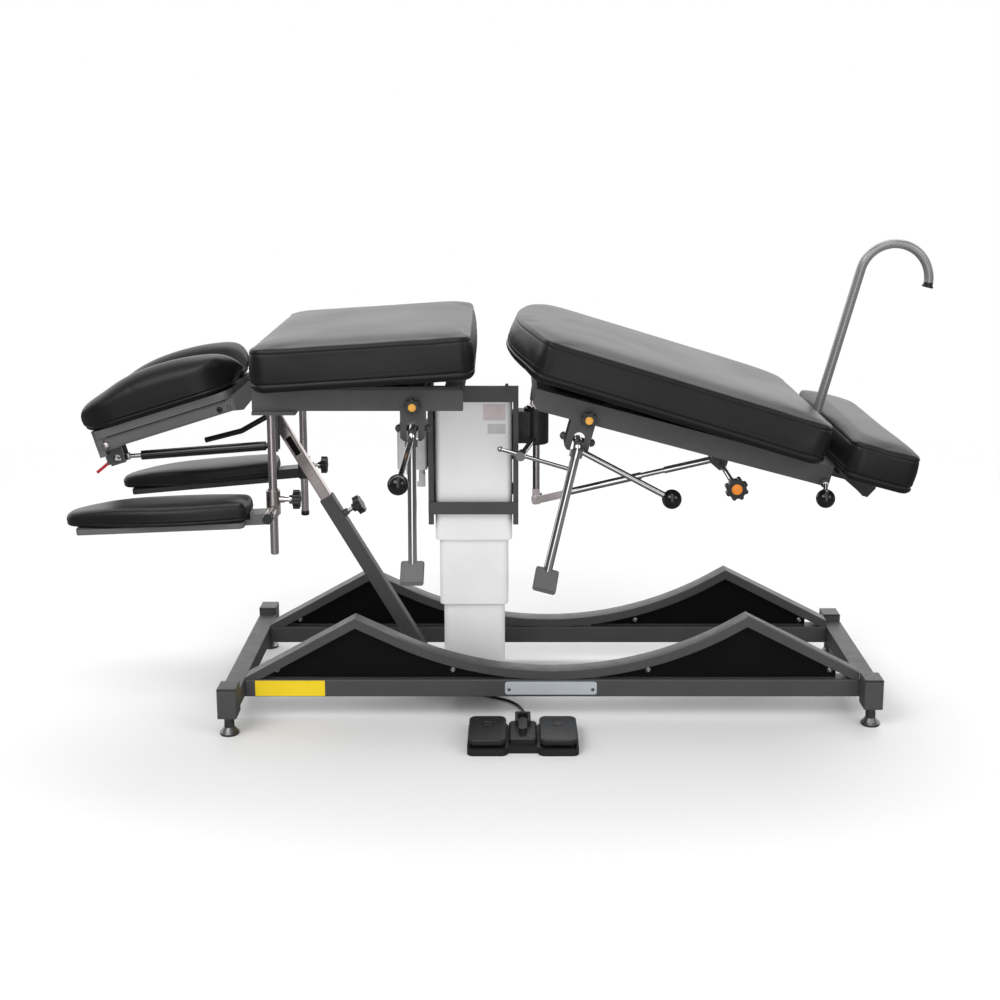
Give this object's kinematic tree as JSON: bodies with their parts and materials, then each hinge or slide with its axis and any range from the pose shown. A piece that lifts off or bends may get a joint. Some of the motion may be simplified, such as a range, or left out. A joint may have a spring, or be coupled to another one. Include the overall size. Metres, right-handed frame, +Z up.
{
  "type": "chiropractic table",
  "caption": "Elevating treatment table with drop cushions for chest and legs, tilting headpiece with face slot, hanging armrests, side levers and a tube base with arched sides",
  "frame": {"origin": "on the floor, under the middle of the bounding box of everything but the cord", "axes": "+X towards the foot end, -Y towards the side with the levers and the foot switch, +Z up"},
  "size_m": [1.916, 0.8415, 1.0553],
  "materials": {
    "frame_coat": "satin dark grey powder coat",
    "column_coat": "smooth white powder coat",
    "box_shell": "light grey moulded shell",
    "steel": "plain machined steel",
    "chrome": "polished chrome",
    "black_leather": "soft black upholstery leather, light grain",
    "panel_black": "satin black sheet",
    "knob_plastic": "black moulded plastic",
    "ball_plastic": "glossy black",
    "red_plastic": "glossy red",
    "rubber": "black rubber",
    "zinc": "zinc plated"
  },
  "bodies": {
    "base": {"base_rails": "frame_coat", "head_base_beam": "frame_coat", "foot_base_beam": "frame_coat", "near_arch_tube": "frame_coat", "far_arch_tube": "frame_coat", "infill_panels": "panel_black", "post_caps": "knob_plastic", "levelling_feet": "zinc", "column_bed": "frame_coat", "column_lower_stage": "column_coat", "lift_spindle": "steel", "foot_switch_base": "rubber", "foot_switch_cord": "rubber"},
    "middle_stage": {"column_middle_stage": "column_coat"},
    "carriage": {"column_upper_stage": "column_coat", "column_yoke": "frame_coat", "control_box": "box_shell", "chest_frame": "frame_coat", "armrest_posts": "chrome", "swing_housing": "frame_coat"},
    "chest_section": {"chest_drop_board": "frame_coat", "chest_cushion": "black_leather"},
    "chest_pedal": {"chest_pedal_lever": "chrome"},
    "chest_lever": {"chest_ball_lever": "chrome"},
    "chest_knob": {"chest_tension_knob": "knob_plastic"},
    "strut_outer": {"strut_outer_tube": "frame_coat"},
    "strut_inner": {"strut_inner_tube": "chrome"},
    "strut_knob": {"strut_clamp_knob": "knob_plastic"},
    "swing_pin": {"king_pin": "steel"},
    "swing_clamp": {"swing_clamp_bar": "chrome"},
    "leg_carrier": {"leg_frame": "frame_coat"},
    "leg_section": {"leg_drop_board": "frame_coat", "leg_cushion": "black_leather"},
    "leg_pedal": {"leg_pedal_lever": "chrome"},
    "leg_lever": {"leg_ball_lever": "chrome"},
    "leg_knob": {"leg_tension_knob": "knob_plastic"},
    "prop_outer": {"tilt_strut_tube": "frame_coat"},
    "prop_inner": {"tilt_strut_rod": "chrome"},
    "prop_lock": {"tilt_lock_knob": "knob_plastic"},
    "foot_section": {"foot_slide": "frame_coat", "foot_cushion": "black_leather"},
    "foot_lock": {"foot_lock_lever": "chrome"},
    "cane": {"cane_handle": "chrome"},
    "head_section": {"head_frame": "frame_coat", "head_cushion": "black_leather"},
    "head_release": {"head_release_lever": "red_plastic"},
    "spring_outer": {"head_spring_tube": "frame_coat"},
    "spring_inner": {"head_spring_rod": "chrome"},
    "up_pedal": {"foot_switch_up_pedal": "rubber"},
    "down_pedal": {"foot_switch_down_pedal": "rubber"},
    "near_bush": {"near_arm_bush": "steel"},
    "near_collar": {"near_arm_collar": "frame_coat"},
    "near_armrest": {"near_arm": "frame_coat", "near_arm_pad": "black_leather"},
    "near_knob": {"near_arm_knob": "knob_plastic"},
    "far_bush": {"far_arm_bush": "steel"},
    "far_collar": {"far_arm_collar": "frame_coat"},
    "far_armrest": {"far_arm": "frame_coat", "far_arm_pad": "black_leather"},
    "far_knob": {"far_arm_knob": "knob_plastic"}
  },
  "joints": [
    {"name": "table_lift", "type": "slide", "parent": "base", "child": "middle_stage", "axis": [0, 0, 1], "range_m": [-0.13, 0]},
    {"name": "upper_stage_lift", "type": "slide", "parent": "middle_stage", "child": "carriage", "axis": [0, 0, 1], "range_m": [-0.131, 0.001]},
    {"name": "strut_swing", "type": "hinge", "parent": "base", "child": "strut_outer", "pos_m": [-0.189, 0.0855, 0.072], "axis": [0, 1, 0], "range_deg": [-16.2, 0.3]},
    {"name": "strut_extension", "type": "slide", "parent": "strut_outer", "child": "strut_inner", "axis": [-0.5055, 0, 0.8628], "range_m": [-0.2075, 0.002]},
    {"name": "strut_clamp_turn", "type": "hinge", "parent": "strut_outer", "child": "strut_knob", "pos_m": [-0.39019, 0.0855, 0.41541], "axis": [0.8628, 0, 0.5055], "range_deg": [-90, 90]},
    {"name": "chest_drop", "type": "hinge", "parent": "carriage", "child": "chest_section", "pos_m": [-0.525, 0.0855, 0.7595], "axis": [0, 1, 0], "range_deg": [0, 3.5]},
    {"name": "chest_pedal_swing", "type": "hinge", "parent": "carriage", "child": "chest_pedal", "pos_m": [-0.2, -0.1265, 0.668], "axis": [1, 0, 0], "range_deg": [-12, 6]},
    {"name": "chest_lever_turn", "type": "hinge", "parent": "chest_pedal", "child": "chest_lever", "pos_m": [-0.2, -0.1765, 0.668], "axis": [0, 0.0644, 0.9979], "range_deg": [-30, 30]},
    {"name": "chest_tension_turn", "type": "hinge", "parent": "carriage", "child": "chest_knob", "pos_m": [-0.199, -0.1625, 0.722], "axis": [0, 1, 0], "range_deg": [-90, 90]},
    {"name": "head_tilt", "type": "hinge", "parent": "carriage", "child": "head_section", "pos_m": [-0.553, 0.0855, 0.742], "axis": [0, 1, 0], "range_deg": [-10, 17.5]},
    {"name": "head_spring_swing", "type": "hinge", "parent": "carriage", "child": "spring_outer", "pos_m": [-0.523, 0.0125, 0.6], "axis": [0, 1, 0], "range_deg": [-9.4, 16.4]},
    {"name": "head_spring_extension", "type": "slide", "parent": "spring_outer", "child": "spring_inner", "axis": [-0.997, 0, -0.0776], "range_m": [-0.0252, 0.0435]},
    {"name": "head_release_squeeze", "type": "hinge", "parent": "head_section", "child": "head_release", "pos_m": [-0.89888, 0.0855, 0.55535], "axis": [0, 1, 0], "range_deg": [0, 8], "stiffness_Nm_per_rad": 1, "springref_deg": -17.19},
    {"name": "leg_swing", "type": "hinge", "parent": "carriage", "child": "swing_pin", "pos_m": [0.066, 0.0855, 0.63], "axis": [0, 0, 1], "range_deg": [-5, 5]},
    {"name": "leg_tilt", "type": "hinge", "parent": "swing_pin", "child": "leg_carrier", "pos_m": [0.066, 0.0855, 0.69], "axis": [0, 1, 0], "range_deg": [-15, 3]},
    {"name": "leg_drop", "type": "hinge", "parent": "leg_carrier", "child": "leg_section", "pos_m": [0.66151, 0.0855, 0.60197], "axis": [0, 1, 0], "range_deg": [-1.9, 0]},
    {"name": "leg_pedal_swing", "type": "hinge", "parent": "leg_carrier", "child": "leg_pedal", "pos_m": [0.15052, -0.1265, 0.64416], "axis": [0.9659, 0, -0.2588], "range_deg": [-12, 6]},
    {"name": "leg_lever_turn", "type": "hinge", "parent": "leg_pedal", "child": "leg_lever", "pos_m": [0.15052, -0.1765, 0.64416], "axis": [0.2305, 0.0644, 0.9709], "range_deg": [-30, 30]},
    {"name": "leg_tension_turn", "type": "hinge", "parent": "leg_carrier", "child": "leg_knob", "pos_m": [0.17319, -0.1625, 0.69399], "axis": [0, 1, 0], "range_deg": [-90, 90]},
    {"name": "prop_swing", "type": "hinge", "parent": "swing_pin", "child": "prop_outer", "pos_m": [0.064, 0.0855, 0.456], "axis": [0, 1, 0], "range_deg": [-12.9, 2.8]},
    {"name": "prop_extension", "type": "slide", "parent": "prop_outer", "child": "prop_inner", "axis": [0.974, 0, 0.2264], "range_m": [-0.0125, 0.0585]},
    {"name": "prop_lock_turn", "type": "hinge", "parent": "leg_carrier", "child": "prop_lock", "pos_m": [0.48826, -0.1505, 0.54381], "axis": [0, 1, 0], "range_deg": [-120, 120]},
    {"name": "swing_clamp_turn", "type": "hinge", "parent": "carriage", "child": "swing_clamp", "pos_m": [0.059, 0.0585, 0.603], "axis": [-0.2581, -0.9587, -0.1198], "range_deg": [-40, 40]},
    {"name": "foot_extension", "type": "slide", "parent": "leg_carrier", "child": "foot_section", "axis": [0.9659, 0, -0.2588], "range_m": [0, 0.1]},
    {"name": "foot_lock_turn", "type": "hinge", "parent": "leg_carrier", "child": "foot_lock", "pos_m": [0.67405, -0.1645, 0.55606], "axis": [0, 1, 0], "range_deg": [-35, 35]},
    {"name": "cane_turn", "type": "hinge", "parent": "leg_carrier", "child": "cane", "pos_m": [0.68006, 0.0855, 0.56688], "axis": [0.2588, 0, 0.9659], "range_deg": [-90, 90]},
    {"name": "near_armrest_height", "type": "slide", "parent": "carriage", "child": "near_bush", "axis": [0, 0, 1], "range_m": [-0.08, 0.12]},
    {"name": "near_armrest_swing", "type": "hinge", "parent": "near_bush", "child": "near_collar", "pos_m": [-0.501, -0.1395, 0.509], "axis": [0, 0, 1], "range_deg": [-5, 60]},
    {"name": "near_armrest_tilt", "type": "hinge", "parent": "near_collar", "child": "near_armrest", "pos_m": [-0.501, -0.1395, 0.492], "axis": [0, 1, 0], "range_deg": [-10, 10]},
    {"name": "near_armrest_knob_turn", "type": "hinge", "parent": "near_collar", "child": "near_knob", "pos_m": [-0.473, -0.1395, 0.515], "axis": [1, 0, 0], "range_deg": [-90, 90]},
    {"name": "far_armrest_height", "type": "slide", "parent": "carriage", "child": "far_bush", "axis": [0, 0, 1], "range_m": [-0.03, 0.15]},
    {"name": "far_armrest_swing", "type": "hinge", "parent": "far_bush", "child": "far_collar", "pos_m": [-0.501, 0.3105, 0.478], "axis": [0, 0, 1], "range_deg": [-60, 5]},
    {"name": "far_armrest_tilt", "type": "hinge", "parent": "far_collar", "child": "far_armrest", "pos_m": [-0.501, 0.3105, 0.461], "axis": [0, 1, 0], "range_deg": [-10, 10]},
    {"name": "far_armrest_knob_turn", "type": "hinge", "parent": "far_collar", "child": "far_knob", "pos_m": [-0.473, 0.3105, 0.484], "axis": [1, 0, 0], "range_deg": [-90, 90]},
    {"name": "up_pedal_press", "type": "hinge", "parent": "base", "child": "up_pedal", "pos_m": [0.034, -0.1645, 0.02], "axis": [1, 0, 0], "range_deg": [0, 3.5], "stiffness_Nm_per_rad": 1.5, "springref_deg": -17.19},
    {"name": "down_pedal_press", "type": "hinge", "parent": "base", "child": "down_pedal", "pos_m": [0.034, -0.1645, 0.02], "axis": [1, 0, 0], "range_deg": [0, 3.5], "stiffness_Nm_per_rad": 1.5, "springref_deg": -17.19}
  ],
  "couplings": [
    {"joint": "upper_stage_lift", "follows": "table_lift", "ratio": 1},
    {"joint": "strut_swing", "follows": "table_lift", "rad_per_m": 2.12},
    {"joint": "strut_extension", "follows": "table_lift", "ratio": 1.585},
    {"joint": "head_spring_swing", "follows": "head_tilt", "ratio": 0.92},
    {"joint": "head_spring_extension", "follows": "head_tilt", "m_per_rad": 0.141},
    {"joint": "prop_swing", "follows": "leg_tilt", "ratio": 0.834},
    {"joint": "prop_extension", "follows": "leg_tilt", "m_per_rad": -0.2205}
  ]
}
